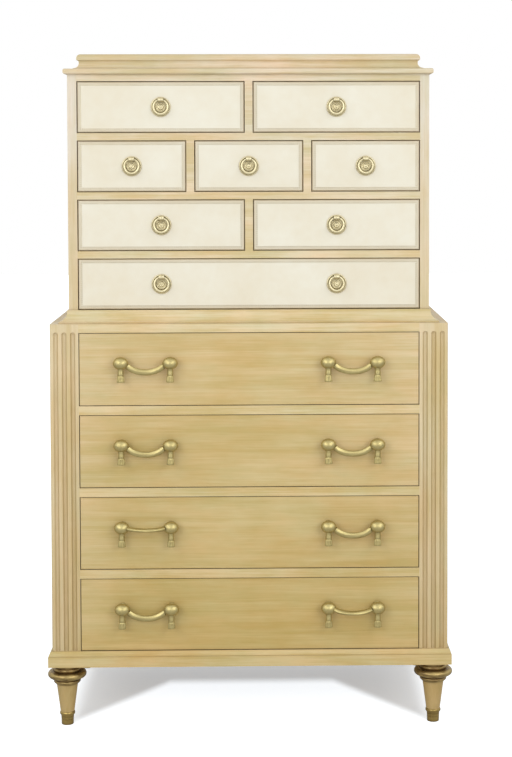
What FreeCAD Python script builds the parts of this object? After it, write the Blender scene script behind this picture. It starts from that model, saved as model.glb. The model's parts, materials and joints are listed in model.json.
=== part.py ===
import FreeCAD, Part
import os
import re
import Sketcher

# A chest on chest: a narrow upper case of eight leather-faced drawers stands on a wide lower case
# of four drawers with fluted corner posts, on turned feet with brass ferrules.
# +Z is up, the fronts face -Y, +X is to the right seen from the front, and the floor is z = 0.

doc = FreeCAD.newDocument("ChestOnChest")

# Driving sizes in millimetres, and angles in degrees.
driving_sizes = {
    # lower case
    "lower_wide": 894,
    "lower_deep": 495,
    "lower_drawer_tall": 165,
    "lower_rail_tall": 20.3,
    "lower_top_rail": 19.3,
    "lower_wall": 20,
    "lower_top_thick": 20,
    "post_wide": 64.6,
    "post_deep": 65,
    "post_round": 3.5,
    "rail_deep": 65,
    "runner_lap": 24,
    "guide_tall": 26,
    "dust_thick": 6,
    "back_thick": 6,
    # flutes of the corner posts
    "flute_radius": 5.8,
    "flute_cut": 4,
    "flute_pitch": 19.2,
    "flute_margin": 4,
    # base moulding
    "base_tall": 35,
    "base_reach": 8.6,
    "base_fascia": 23.5,
    "base_quirk": 1.6,
    "base_round": 16,
    # waist moulding
    "waist_tall": 29,
    "waist_reach": 21,
    "waist_lip": 3.5,
    "waist_fillet": 4.5,
    # upper case
    "upper_side_inset": 39.75,
    "upper_inset": 34,
    "upper_drawer_tall": 116.3,
    "upper_rail_tall": 16.7,
    "upper_top_rail": 16,
    "upper_rail_deep": 50,
    "upper_wall": 20.8,
    "muntin_wide": 17.8,
    # cornice
    "ledge_tall": 12,
    "ledge_reach": 8.8,
    "ledge_round": 4,
    "cap_tall": 34,
    "cap_inset": 12.5,
    "cap_foot": 2,
    "cap_cove": 11.5,
    "cap_neck": 2,
    "cap_flare": 5,
    "cap_fillet": 4,
    "cap_wall": 34,
    "cap_panel_thick": 12,
    "cap_rail_thick": 18,
    # drawers
    "drawer_gap": 1.6,
    "drawer_rise": 0.3,
    "front_thick": 20,
    "front_inset": 1.5,
    "drawer_wall": 12,
    "drawer_drop": 12,
    "drawer_bottom": 6,
    "bottom_lift": 8,
    "rear_clear": 12,
    "leather_thick": 1.2,
    "leather_border": 5,
    # turned feet
    "foot_tall": 140,
    "foot_inset": 30,
    "foot_rear_inset": 46,
    "foot_disc_radius": 43.7,
    "foot_disc_tall": 14,
    "foot_disc_round": 7.5,
    "foot_bead_radius": 30.5,
    "foot_bead_tall": 8,
    "foot_bead_round": 4.5,
    "foot_throat_radius": 27,
    "foot_throat_tall": 8,
    "foot_crown_radius": 31,
    "foot_crown_tall": 9,
    "foot_crown_round": 6,
    "foot_neck_radius": 27.5,
    "foot_neck_tall": 4.5,
    "foot_fillet_radius": 25.8,
    "foot_fillet_tall": 2.5,
    "taper_top_radius": 24.2,
    "taper_low_radius": 15.7,
    "spigot_radius": 8,
    "ferrule_tall": 22.5,
    "ferrule_low_radius": 13.6,
    "ferrule_top_radius": 14.8,
    "ferrule_sole": 6,
    "collar_radius": 17.3,
    "collar_tall": 7.5,
    "collar_round": 4.5,
    # fixings
    "bolt_radius": 4,
    "bolt_clear": 1,
    "bolt_down": 34,
    "screw_radius": 2.5,
    "screw_head_radius": 5,
    "screw_head_tall": 3,
    "screw_long": 26,
    "screw_inset": 90,
    # ring pulls
    "stud_radius": 2.5,
    "nut_thick": 4,
    "nut_radius": 5.5,
    "plate_radius": 22.5,
    "plate_edge": 2.2,
    "plate_rim": 3,
    "plate_rim_round": 1.7,
    "plate_dish_round": 14,
    "plate_bead_radius": 10.6,
    "plate_bead_wide": 2.6,
    "plate_bead_round": 1.7,
    "plate_field": 1.8,
    "boss_radius": 6,
    "boss_edge": 3,
    "boss_reach": 5,
    "lug_wide": 12,
    "lug_radius": 5,
    "lug_out": 7.6,
    "ring_radius": 16,
    "ring_top_wire": 2.2,
    "ring_low_wire": 3,
    "ring_clear": 0.5,
    # bail pulls
    "pull_half_spread": 232,
    "pull_lift": 16.5,
    "bail_span": 110.2,
    "ball_half_wide": 16.8,
    "ball_radius": 13.2,
    "ball_out": 19,
    "stem_radius": 6.5,
    "flange_radius": 10,
    "flange_thick": 2.5,
    "pin_radius": 2.5,
    "pin_clear": 0.1,
    "pin_reach": 9,
    "bail_shoulder": 5.3,
    "bail_sag": 21.5,
    "bail_end_half_tall": 5,
    "bail_mid_half_tall": 6.4,
    "bail_end_half_thick": 3.2,
    "bail_mid_half_thick": 3.4,
    "drop_neck_radius": 5,
    "drop_bead_radius": 6.2,
    "drop_top": 16,
    "drop_tall": 45,
    "drop_top_radius": 6,
    "drop_low_radius": 8.2,
    "bail_raised": 85,
    "bail_half_raised": 72,
}

sizes = doc.addObject("Spreadsheet::Sheet", "Sizes")
for row, (alias, value) in enumerate(driving_sizes.items(), start=1):
    sizes.set(f"A{row}", alias)
    sizes.set(f"B{row}", str(value))
    sizes.setAlias(f"B{row}", alias)

# Levels and places that follow from the driving sizes.
derived_places = {
    # the chest's depth is centred on y = 0, with the raised bail as its front
    "front_reach": "ball_out + (bail_sag + bail_mid_half_tall) * sin(bail_raised) - front_inset",
    "case_front": "(front_reach - lower_deep) / 2",
    "case_back": "case_front + lower_deep",
    "inner_back": "case_back - back_thick",
    "lower_half": "lower_wide / 2",
    "lower_inner": "lower_half - lower_wall",
    "lower_mouth": "lower_half - post_wide",
    "lower_floor": "foot_tall + base_tall",
    "lower_step": "lower_drawer_tall + lower_rail_tall",
    "lower_top": "lower_floor + 4 * lower_drawer_tall + 3 * lower_rail_tall + lower_top_rail",
    "board_floor": "lower_floor - lower_rail_tall",
    "bolt_top": "board_floor - bolt_clear",
    "rail_back": "case_front + rail_deep",
    "post_back": "case_front + post_deep",
    "runner_inner": "lower_mouth - runner_lap",
    "upper_front": "case_front + upper_inset",
    "upper_half": "lower_half - upper_side_inset",
    "upper_mouth": "upper_half - upper_wall",
    "upper_floor": "lower_top + waist_tall",
    "upper_step": "upper_drawer_tall + upper_rail_tall",
    "upper_top": "upper_floor + 4 * upper_drawer_tall + 3 * upper_rail_tall + upper_top_rail",
    "upper_rail_back": "upper_front + upper_rail_deep",
    "ledge_top": "upper_top + ledge_tall",
    "cap_half": "upper_half - cap_inset",
    "cap_front": "upper_front + cap_inset",
    "chest_top": "ledge_top + cap_tall",
    "full_mouth": "2 * upper_mouth",
    "half_mouth": "(full_mouth - muntin_wide) / 2",
    "third_mouth": "(full_mouth - 2 * muntin_wide) / 3",
    "half_place": "(half_mouth + muntin_wide) / 2",
    "third_place": "third_mouth + muntin_wide",
    "lower_drawer_long": "lower_deep - back_thick - front_inset - rear_clear",
    "upper_drawer_long": "lower_drawer_long - upper_inset",
    "foot_x": "lower_half - foot_inset",
    "foot_front": "case_front + foot_inset",
    "foot_back": "case_back - foot_rear_inset",
    "collar_top": "ferrule_tall + collar_tall",
    "lower_pull_z": "lower_drawer_tall / 2 + pull_lift",
    "upper_pull_z": "upper_drawer_tall / 2",
    "bail_half": "bail_span / 2 - ball_half_wide - bail_shoulder",
    "bail_arc": "(bail_half ^ 2 + bail_sag ^ 2) / (2 * bail_sag)",
    "bail_swing": "asin(bail_half / bail_arc) / 1 deg",
}

places = doc.addObject("Spreadsheet::Sheet", "Places")


def bound(expression):
    """Write the sheet's name before each alias."""
    def owner(word):
        name = word.group(0)
        if name in driving_sizes:
            return f"Sizes.{name}"
        if name in derived_places:
            return f"Places.{name}"
        return name
    return re.sub(r"[a-z][a-z_]*", owner, str(expression))


for row, (alias, formula) in enumerate(derived_places.items(), start=1):
    places.set(f"A{row}", alias)
    places.setAlias(f"B{row}", alias)
    text = bound(formula)
    places.set(f"B{row}", "=" + text.replace("Places.", ""))
doc.recompute()


def number(expression):
    """The present value of an expression, for a sketch's first guess."""
    return float(sizes.evalExpression(bound(expression)))


def bind(thing, **expressions):
    for name, expression in expressions.items():
        thing.setExpression(name, bound(expression))


def put(thing, x=0, y=0, z=0, turn=None, axis=(0, 0, 1)):
    """Place a thing, turned about an axis by a bound angle."""
    if turn is not None:
        thing.Placement = FreeCAD.Placement(
            FreeCAD.Vector(), FreeCAD.Rotation(FreeCAD.Vector(*axis), number(turn))
        )
        thing.setExpression("Placement.Rotation.Angle", bound(turn))
    thing.setExpression("Placement.Base.x", bound(x))
    thing.setExpression("Placement.Base.y", bound(y))
    thing.setExpression("Placement.Base.z", bound(z))
    return thing


def box(name, x, y, z):
    """A board between the two bounds given on each axis."""
    board = doc.addObject("Part::Box", name)
    bind(
        board,
        Length=f"({x[1]}) - ({x[0]})",
        Width=f"({y[1]}) - ({y[0]})",
        Height=f"({z[1]}) - ({z[0]})",
    )
    return put(board, x[0], y[0], z[0])


def both_sides(name, inner, outer, y, z):
    """The same board on the left and on the right."""
    return [
        box(f"{name}_left", (f"-({outer})", f"-({inner})"), y, z),
        box(f"{name}_right", (inner, outer), y, z),
    ]


def rod(name, radius, length, along=(0, 0, 1), x=0, y=0, z=0):
    """A round rod that starts at a place and runs along an axis."""
    cylinder = doc.addObject("Part::Cylinder", name)
    bind(cylinder, Radius=radius, Height=length)
    turned = FreeCAD.Rotation(FreeCAD.Vector(0, 0, 1), FreeCAD.Vector(*along))
    cylinder.Placement = FreeCAD.Placement(FreeCAD.Vector(), turned)
    return put(cylinder, x, y, z)


def group(name, members, x=0, y=0, z=0, turn=None, axis=(0, 0, 1)):
    """Separate solids that are placed together."""
    compound = doc.addObject("Part::Compound", name)
    compound.Links = members
    return put(compound, x, y, z, turn, axis)


def fused(name, members):
    union = doc.addObject("Part::MultiFuse", name)
    union.Shapes = members
    return union


def without(name, base, tool):
    cut = doc.addObject("Part::Cut", name)
    cut.Base = base
    cut.Tool = tool
    return cut


def draw(sketch, corners):
    """A closed outline through corners (across, up) or, where an arc leads to the next corner,
    (across, up, radius, bend): bend is 1 where the arc turns left and -1 where it turns right."""
    points = [FreeCAD.Vector(number(corner[0]), number(corner[1]), 0) for corner in corners]
    count = len(corners)
    upright = FreeCAD.Vector(0, 0, 1)
    ends = []
    for index, corner in enumerate(corners):
        start = points[index]
        end = points[(index + 1) % count]
        if len(corner) == 2:
            sketch.addGeometry(Part.LineSegment(start, end), False)
            ends.append((1, 2))
            continue
        radius = number(corner[2])
        bend = corner[3]
        chord = end - start
        sink = (radius ** 2 - (chord.Length / 2) ** 2) ** 0.5
        centre = start + chord * 0.5 + upright.cross(chord).normalize() * bend * sink
        first, last = (start, end) if bend > 0 else (end, start)
        circle = Part.Circle(centre, upright, radius)
        arc = Part.ArcOfCircle(circle, circle.parameter(first), circle.parameter(last))
        sketch.addGeometry(arc, False)
        ends.append((1, 2) if bend > 0 else (2, 1))
    for index, corner in enumerate(corners):
        following = (index + 1) % count
        sketch.addConstraint(
            Sketcher.Constraint("Coincident", index, ends[index][1], following, ends[following][0])
        )
        for kind, value, letter in (("DistanceX", corner[0], "across"), ("DistanceY", corner[1], "up")):
            constraint = sketch.addConstraint(
                Sketcher.Constraint(kind, -1, 1, index, ends[index][0], number(value))
            )
            sketch.renameConstraint(constraint, f"{letter}_{index}")
            sketch.setExpression(f"Constraints.{letter}_{index}", bound(value))
        if len(corner) > 2:
            constraint = sketch.addConstraint(Sketcher.Constraint("Radius", index, number(corner[2])))
            sketch.renameConstraint(constraint, f"radius_{index}")
            sketch.setExpression(f"Constraints.radius_{index}", bound(corner[2]))


def body_sketch(body, name, role, corners):
    plane = [plane for plane in body.Origin.OriginFeatures if plane.Role == role][0]
    sketch = body.newObject("Sketcher::SketchObject", name)
    sketch.AttachmentSupport = [(plane, "")]
    sketch.MapMode = "FlatFace"
    draw(sketch, corners)
    return sketch


def turned(name, corners):
    """A piece turned about the Z axis from corners (radius, height)."""
    body = doc.addObject("PartDesign::Body", name)
    sketch = body_sketch(body, f"{name}_outline", "XZ_Plane", corners)
    lathe = body.newObject("PartDesign::Revolution", f"{name}_turning")
    lathe.Profile = sketch
    lathe.ReferenceAxis = (sketch, ["V_Axis"])
    lathe.Angle = 360
    body.Tip = lathe
    return body


def padded(name, role, corners, length):
    """A piece of one outline, as long as the length says."""
    body = doc.addObject("PartDesign::Body", name)
    sketch = body_sketch(body, f"{name}_outline", role, corners)
    pad = body.newObject("PartDesign::Pad", f"{name}_length")
    pad.Profile = sketch
    bind(pad, Length=length)
    body.Tip = pad
    return body


def moulding(name, outline, inner, outer, tall, half, front, level):
    """A moulding round the front and both ends of a case, mitred at the front corners.
    Its outline has the case's face at zero, outwards positive, and its foot at zero."""
    back = "case_back"
    runs = (
        ("front", 180, f"-({half})", half, True, True, 0, front),
        ("left", 90, front, back, True, False, f"-({half})", 0),
        ("right", -90, f"-({back})", f"-({front})", False, True, half, 0),
    )
    lengths = []
    for side, turn, start, end, mitre_start, mitre_end, x, y in runs:
        low = f"({start}) - ({outer})" if mitre_start else start
        high = f"({end}) + ({outer})" if mitre_end else end
        strip = padded(f"{name}_{side}_strip", "YZ_Plane", outline, f"({high}) - ({low})")
        put(strip, x=low)
        mitre = doc.addObject("Part::Wedge", f"{name}_{side}_mitre")
        bind(
            mitre,
            Ymin=inner, Ymax=outer, Zmin=0, Z2min=0, Zmax=tall, Z2max=tall,
            Xmin=f"({start}) - ({inner})" if mitre_start else start,
            Xmax=f"({end}) + ({inner})" if mitre_end else end,
            X2min=low, X2max=high,
        )
        length = doc.addObject("Part::Common", f"{name}_{side}")
        length.Base = strip
        length.Tool = mitre
        lengths.append(put(length, x, y, level, turn))
    return group(name, lengths)


# Screws and bolts come first, because the boards are bored to take them.
foot_corners = [
    (x, y) for x in ("-foot_x", "foot_x") for y in ("foot_front", "foot_back")
]
hanger_bolts = [
    rod(f"hanger_bolt_{index}", "bolt_radius", "bolt_top - foot_tall + bolt_down", x=x, y=y,
        z="foot_tall - bolt_down")
    for index, (x, y) in enumerate(foot_corners)
]
joining_screws = []
screw_top = "lower_top + waist_tall - upper_rail_tall"
for index, (x, y) in enumerate(
    (x, y)
    for x in ("-(upper_mouth - screw_inset)", "upper_mouth - screw_inset")
    for y in ("upper_rail_back + screw_inset / 2", "inner_back - screw_inset / 2")
):
    shank = rod(f"joining_shank_{index}", "screw_radius", "screw_long", x=x, y=y,
                z=f"{screw_top} - screw_long")
    head = rod(f"joining_head_{index}", "screw_head_radius", "screw_head_tall", x=x, y=y,
               z=f"{screw_top} - screw_head_tall")
    joining_screws.append(fused(f"joining_screw_{index}", [shank, head]))
bolt_holes = group("bolt_holes", hanger_bolts)
screw_holes = group("screw_holes", joining_screws)
fixings = group("fixings", hanger_bolts + joining_screws)



def bead_side(bead):
    """The radius at which a turned bead's rounded edge starts and ends."""
    return f"{bead}_radius - {bead}_round + sqrt({bead}_round ^ 2 - ({bead}_tall / 2) ^ 2)"


# Turned feet, each with a bolt hole in its top and a spigot that stands in the ferrule.
crown_top = "foot_tall - foot_throat_tall"
disc_top = f"{crown_top} - foot_crown_tall"
disc_low = f"{disc_top} - foot_disc_tall"
bead_top = f"{disc_low} - foot_neck_tall"
bead_low = f"{bead_top} - foot_bead_tall"
fillet_low = f"{bead_low} - foot_fillet_tall"
bore_low = "foot_tall - bolt_down"
foot_form = turned("foot_form", [
    (0, "ferrule_sole"),
    ("spigot_radius", "ferrule_sole"),
    ("spigot_radius", "collar_top"),
    ("taper_low_radius", "collar_top"),
    ("taper_top_radius", fillet_low),
    ("foot_fillet_radius", fillet_low),
    ("foot_fillet_radius", bead_low),
    (bead_side("foot_bead"), bead_low, "foot_bead_round", 1),
    (bead_side("foot_bead"), bead_top),
    ("foot_neck_radius", bead_top),
    ("foot_neck_radius", disc_low),
    (bead_side("foot_disc"), disc_low, "foot_disc_round", 1),
    (bead_side("foot_disc"), disc_top),
    (bead_side("foot_crown"), disc_top, "foot_crown_round", 1),
    (bead_side("foot_crown"), crown_top),
    ("foot_throat_radius", crown_top),
    ("foot_throat_radius", "foot_tall"),
    ("bolt_radius", "foot_tall"),
    ("bolt_radius", bore_low),
    (0, bore_low),
])
ferrule_form = turned("ferrule_form", [
    (0, 0),
    ("ferrule_low_radius", 0),
    ("ferrule_top_radius", "ferrule_tall"),
    (bead_side("collar"), "ferrule_tall", "collar_round", 1),
    (bead_side("collar"), "collar_top"),
    ("spigot_radius", "collar_top"),
    ("spigot_radius", "ferrule_sole"),
    (0, "ferrule_sole"),
])
feet = group("feet", [
    group(f"foot_{index}", [foot_form], x, y) for index, (x, y) in enumerate(foot_corners)
])
ferrules = group("ferrules", [
    group(f"ferrule_{index}", [ferrule_form], x, y) for index, (x, y) in enumerate(foot_corners)
])

# Corner posts, each rounded on its outer corner, with three flutes in the front.
flute_low = "lower_floor + flute_margin"
flute_high = "lower_top - lower_top_rail - flute_margin"
flute_y = "case_front - flute_radius + flute_cut"
posts = []
for side, sign in (("left", -1), ("right", 1)):
    outer = f"{sign} * lower_half"
    inner = f"{sign} * lower_mouth"
    rounded_in = f"{sign} * (lower_half - post_round)"
    rounded_back = "case_front + post_round"
    blank = padded(f"post_blank_{side}", "XY_Plane", [
        (inner, "case_front"),
        (rounded_in, "case_front", "post_round", sign),
        (outer, rounded_back),
        (outer, "post_back"),
        (inner, "post_back"),
    ], "lower_top - foot_tall")
    put(blank, z="foot_tall")
    flutes = []
    for place in (-1, 0, 1):
        flute_x = f"{sign} * (lower_half - post_wide / 2) + {place} * flute_pitch"
        name = f"flute_{side}_{place + 2}"
        groove = rod(f"{name}_groove", "flute_radius", f"{flute_high} - ({flute_low})",
                     x=flute_x, y=flute_y, z=flute_low)
        ends = []
        for end, level in (("low", flute_low), ("high", flute_high)):
            ball = doc.addObject("Part::Sphere", f"{name}_{end}")
            bind(ball, Radius="flute_radius")
            ends.append(put(ball, flute_x, flute_y, level))
        flutes.append(fused(name, [groove] + ends))
    fluted = without(f"post_fluted_{side}", blank, group(f"flutes_{side}", flutes))
    posts.append(without(f"post_{side}", fluted, bolt_holes))
corner_posts = group("corner_posts", posts)

# Lower case.
lower_levels = [f"lower_floor + {index} * lower_step" for index in range(4)]
lower_sides = group("lower_sides", both_sides(
    "lower_side", "lower_inner", "lower_half",
    ("post_back", "case_back"), ("foot_tall", "lower_top"),
))
lower_width = ("-lower_inner", "lower_inner")
mouth_width = ("-lower_mouth", "lower_mouth")
lower_back = box("lower_back", lower_width, ("inner_back", "case_back"), ("foot_tall", "lower_top"))
bottom_blank = box("lower_bottom_blank", lower_width, ("post_back", "inner_back"),
                   ("foot_tall", "board_floor"))
top_blank = box("lower_top_blank", lower_width, ("post_back", "inner_back"),
                ("lower_top - lower_top_thick", "lower_top"))
lower_boards = group("lower_boards", [
    without("lower_bottom_board", bottom_blank, bolt_holes),
    without("lower_top_board", top_blank, screw_holes),
])
rail_run = ("case_front", "rail_back")
lower_rails = group("lower_rails", [
    box("lower_bottom_rail", mouth_width, rail_run, ("foot_tall", "lower_floor")),
    *[
        box(f"lower_rail_{index}", mouth_width, rail_run, (f"{level} - lower_rail_tall", level))
        for index, level in enumerate(lower_levels[1:], start=1)
    ],
    box("lower_top_rail", mouth_width, rail_run, ("lower_top - lower_top_rail", "lower_top")),
])
runners = []
for index, level in enumerate(lower_levels):
    runners += both_sides(f"runner_{index}", "runner_inner", "lower_inner",
                          ("rail_back", "inner_back"), (f"{level} - lower_rail_tall", level))
    runners += both_sides(f"guide_{index}", "lower_mouth", "lower_inner",
                          ("post_back", "inner_back"), (level, f"{level} + guide_tall"))
lower_runners = group("lower_runners", runners)
lower_dust_panels = group("lower_dust_panels", [
    box(f"dust_panel_{index}", ("-runner_inner", "runner_inner"), ("rail_back", "inner_back"),
        (f"{level} - (lower_rail_tall + dust_thick) / 2",
         f"{level} - (lower_rail_tall - dust_thick) / 2"))
    for index, level in enumerate(lower_levels[1:], start=1)
])
base_moulding = moulding("base_moulding", [
    (0, 0),
    ("base_reach", 0),
    ("base_reach", "base_fascia"),
    ("base_reach - base_quirk", "base_fascia"),
    ("base_reach - base_quirk", "base_fascia + base_quirk", "base_round", 1),
    ("base_quirk", "base_tall"),
    (0, "base_tall"),
], "0", "base_reach", "base_tall", "lower_half", "case_front", "foot_tall")

# Upper case.
cove_run = "(waist_reach - waist_lip)"
cove_rise = "(waist_tall - waist_lip - waist_fillet)"
waist_moulding = moulding("waist_moulding", [
    (0, 0),
    ("waist_reach", 0),
    ("waist_reach", "waist_lip", f"({cove_run} ^ 2 + {cove_rise} ^ 2) / (2 * {cove_run})", -1),
    ("waist_lip", "waist_tall - waist_fillet"),
    ("waist_lip", "waist_tall"),
    (0, "waist_tall"),
], "0", "waist_reach", "waist_tall", "upper_half", "upper_front", "lower_top")
upper_levels = [f"upper_floor + {index} * upper_step" for index in range(4)]
upper_width = ("-upper_mouth", "upper_mouth")
upper_sides = group("upper_sides", both_sides(
    "upper_side", "upper_mouth", "upper_half",
    ("upper_front", "case_back"), ("lower_top", "upper_top"),
))
upper_back = box("upper_back", upper_width, ("inner_back", "case_back"), ("lower_top", "upper_top"))
upper_rail_run = ("upper_front", "upper_rail_back")
row_places = (
    ("fourth", {"middle": "0"}),
    ("third", {"left": "-half_place", "right": "half_place"}),
    ("second", {"left": "-third_place", "middle": "0", "right": "third_place"}),
    ("top", {"left": "-half_place", "right": "half_place"}),
)
muntin_places = {
    "third": ["0"],
    "second": ["-third_place / 2", "third_place / 2"],
    "top": ["0"],
}
face_pieces = [
    box("upper_bottom_rail", upper_width, upper_rail_run, ("lower_top", "upper_floor")),
    box("upper_top_rail", upper_width, upper_rail_run, ("upper_top - upper_top_rail", "upper_top")),
]
partitions = []
for index, (row, columns) in enumerate(row_places):
    level = upper_levels[index]
    if index:
        face_pieces.append(box(f"upper_rail_{row}", upper_width, upper_rail_run,
                               (f"{level} - upper_rail_tall", level)))
    for count, place in enumerate(muntin_places.get(row, [])):
        across = (f"{place} - muntin_wide / 2", f"{place} + muntin_wide / 2")
        upright = (level, f"{level} + upper_drawer_tall")
        face_pieces.append(box(f"muntin_{row}_{count}", across, upper_rail_run, upright))
        partitions.append(box(f"partition_{row}_{count}", across,
                              ("upper_rail_back", "inner_back"), upright))
upper_face_frame = group("upper_face_frame", face_pieces)
upper_partitions = group("upper_partitions", partitions)
board_run = ("upper_rail_back", "inner_back")
upper_floor_blank = box("upper_floor_blank", upper_width, board_run,
                        ("lower_top", "upper_floor - upper_rail_tall"))
upper_boards = group("upper_boards", [
    without("upper_bottom_board", upper_floor_blank, screw_holes),
    *[
        box(f"upper_shelf_{index}", upper_width, board_run, (f"{level} - upper_rail_tall", level))
        for index, level in enumerate(upper_levels)
    ],
    box("upper_top_board", upper_width, board_run, ("upper_top - upper_top_rail", "upper_top")),
])

# Cornice: a thin ledge with a rounded edge, and a coved cap that stands back on it.
ledge_out = "(upper_half + ledge_reach)"
ledge_front = "(upper_front - ledge_reach)"
ledge = padded("cornice_ledge", "XY_Plane", [
    (f"-{ledge_out}", ledge_front),
    (ledge_out, ledge_front),
    (ledge_out, "case_back"),
    (f"-{ledge_out}", "case_back"),
], "ledge_tall")
put(ledge, z="upper_top")
doc.recompute()
ledge_pad = ledge.Tip
rounded_edges = []
for index, edge in enumerate(ledge_pad.Shape.Edges, start=1):
    level_edge = abs(edge.BoundBox.ZLength) < 1e-6
    if level_edge and edge.BoundBox.YMin < number("case_back") - 1:
        rounded_edges.append(f"Edge{index}")
ledge_rounding = ledge.newObject("PartDesign::Fillet", "cornice_ledge_rounding")
ledge_rounding.Base = (ledge_pad, rounded_edges)
bind(ledge_rounding, Radius="ledge_round")
ledge.Tip = ledge_rounding

cap_neck_out = "(-cap_cove)"
cove_top = "(cap_foot + cap_cove)"
neck_top = f"({cove_top} + cap_neck)"
flare_top = f"({neck_top} + cap_flare)"
flare_out = f"({cap_neck_out} + cap_flare)"
round_low = f"({flare_top} + cap_fillet)"
top_round = f"(cap_tall - {round_low})"
cap_moulding = moulding("cap_moulding", [
    ("-cap_wall", 0),
    (0, 0),
    (0, "cap_foot", "cap_cove", -1),
    (cap_neck_out, cove_top),
    (cap_neck_out, neck_top, "cap_flare", -1),
    (flare_out, flare_top),
    (flare_out, round_low, top_round, 1),
    (f"{flare_out} - {top_round}", "cap_tall"),
    ("-cap_wall", "cap_tall"),
], "-cap_wall", "0", "cap_tall", "cap_half", "cap_front", "ledge_top")
cap_span = ("-(cap_half - cap_wall)", "cap_half - cap_wall")
cap_panel = box("cap_panel", cap_span, ("cap_front + cap_wall", "case_back - cap_rail_thick"),
                ("chest_top - cap_panel_thick", "chest_top"))
cap_rail = box("cap_rail", cap_span, ("case_back - cap_rail_thick", "case_back"),
               ("ledge_top", "chest_top"))
cornice_cap = group("cornice_cap", [cap_moulding, cap_panel, cap_rail])

# Ring pulls: a dished plate with a stud and nut, a bored lug at its top, and a loose ring.
# The forms stand about a point on the drawer's face, with the plate in front of it.
rim_start = "plate_radius - plate_rim"
bead_out = "plate_bead_radius + plate_bead_wide / 2"
bead_in = "plate_bead_radius - plate_bead_wide / 2"
plate_disc = turned("plate_disc", [
    (0, 0),
    ("plate_radius", 0),
    ("plate_radius", "plate_edge", "plate_rim_round", 1),
    (rim_start, "plate_edge", "plate_dish_round", -1),
    (bead_out, "plate_field", "plate_bead_round", 1),
    (bead_in, "plate_field"),
    ("boss_radius", "plate_field"),
    ("boss_radius", "boss_edge"),
    ("boss_radius / 2", "boss_reach"),
    (0, "boss_reach"),
])
plate_disc.Placement.Rotation = FreeCAD.Rotation(FreeCAD.Vector(1, 0, 0), 90)
lug_bore = "ring_top_wire + ring_clear + ring_radius - sqrt(ring_radius ^ 2 - (lug_wide / 2) ^ 2)"
lug_rod = rod("lug_rod", "lug_radius", "lug_wide", (1, 0, 0),
              x="-lug_wide / 2", y="-lug_out", z="ring_radius")
lug_web = box("lug_web", ("-lug_wide / 2", "lug_wide / 2"), ("-lug_out", "0"),
              ("ring_radius - lug_radius", "ring_radius + lug_radius"))
stud_long = "front_thick + nut_thick"
plate_stud = rod("plate_stud", "stud_radius", stud_long, (0, 1, 0))
plate_blank = fused("plate_blank", [plate_disc, lug_rod, lug_web, plate_stud])
lug_hole = rod("lug_hole", lug_bore, "lug_wide + 2", (1, 0, 0),
               x="-lug_wide / 2 - 1", y="-lug_out", z="ring_radius")
plate_form = without("plate_form", plate_blank, lug_hole)
nut_blank = doc.addObject("Part::Prism", "nut_blank")
nut_blank.Polygon = 6
bind(nut_blank, Circumradius="nut_radius", Height="nut_thick")
nut_blank.Placement.Rotation = FreeCAD.Rotation(FreeCAD.Vector(1, 0, 0), -90)
put(nut_blank, y="front_thick")
nut_form = without("nut_form", nut_blank, plate_stud)
ring_plate = group("ring_plate", [plate_form, nut_form])

# The ring hangs from its pivot, with its wire thicker at the foot.
ring_steps = 12
ring_sections = []
for index in range(ring_steps):
    turn = f"{index} * 360 / {ring_steps}"
    section = doc.addObject("Part::Circle", f"ring_section_{index}")
    bind(section, Radius=f"ring_top_wire + (ring_low_wire - ring_top_wire) * (1 - cos({turn})) / 2")
    put(section, f"ring_radius * sin({turn})", 0, f"ring_radius * (cos({turn}) - 1)",
        f"{turn} + 90", (0, 1, 0))
    ring_sections.append(section)
ring_form = doc.addObject("Part::Loft", "ring_form")
ring_form.Sections = ring_sections
ring_form.Solid = True
ring_form.Closed = True
ring_form.Ruled = False

# Bail pulls: each post is a ball on a stem, with a flange, a stud and nut, and a bell-shaped drop
# below it. The bail's pins turn in sockets in the two balls.
balls_x = "bail_span / 2"
drop_bell = turned("drop_bell", [
    (0, "-drop_tall"),
    ("drop_low_radius", "-drop_tall"),
    ("drop_top_radius", "-drop_top"),
    (0, "-drop_top"),
])
put(drop_bell, y="-ball_out")
drop_neck = rod("drop_neck", "drop_neck_radius", "drop_top", x=0, y="-ball_out", z="-drop_top")
drop_bead = doc.addObject("Part::Sphere", "drop_bead")
bind(drop_bead, Radius="drop_bead_radius")
put(drop_bead, y="-ball_out", z="-drop_top")
ball = doc.addObject("Part::Ellipsoid", "ball")
bind(ball, Radius1="ball_half_wide", Radius2="ball_radius", Radius3="ball_radius")
put(ball, 0, "-ball_out", 0, 90, (0, 1, 0))
stem = rod("stem", "stem_radius", "ball_out", (0, -1, 0))
flange = rod("flange", "flange_radius", "flange_thick", (0, -1, 0))
stud = rod("stud", "stud_radius", stud_long, (0, 1, 0))
post_blank = fused("pull_post_blank", [ball, stem, flange, stud, drop_neck, drop_bead, drop_bell])
posts_of_pull = []
for side, sign in (("left", -1), ("right", 1)):
    place = f"{sign} * {balls_x}"
    deepest = f"{balls_x} - ball_half_wide + pin_reach + pin_clear"
    socket = rod(f"socket_{side}", "pin_radius + pin_clear", f"2 * ({deepest})", (1, 0, 0),
                 x=f"-({deepest})", y="-ball_out")
    blank = group(f"pull_post_blank_{side}", [post_blank], place)
    posts_of_pull.append(without(f"pull_post_{side}", blank, socket))
    posts_of_pull.append(group(f"pull_nut_{side}", [nut_form], place))
pull_posts = group("pull_posts", posts_of_pull)

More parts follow.
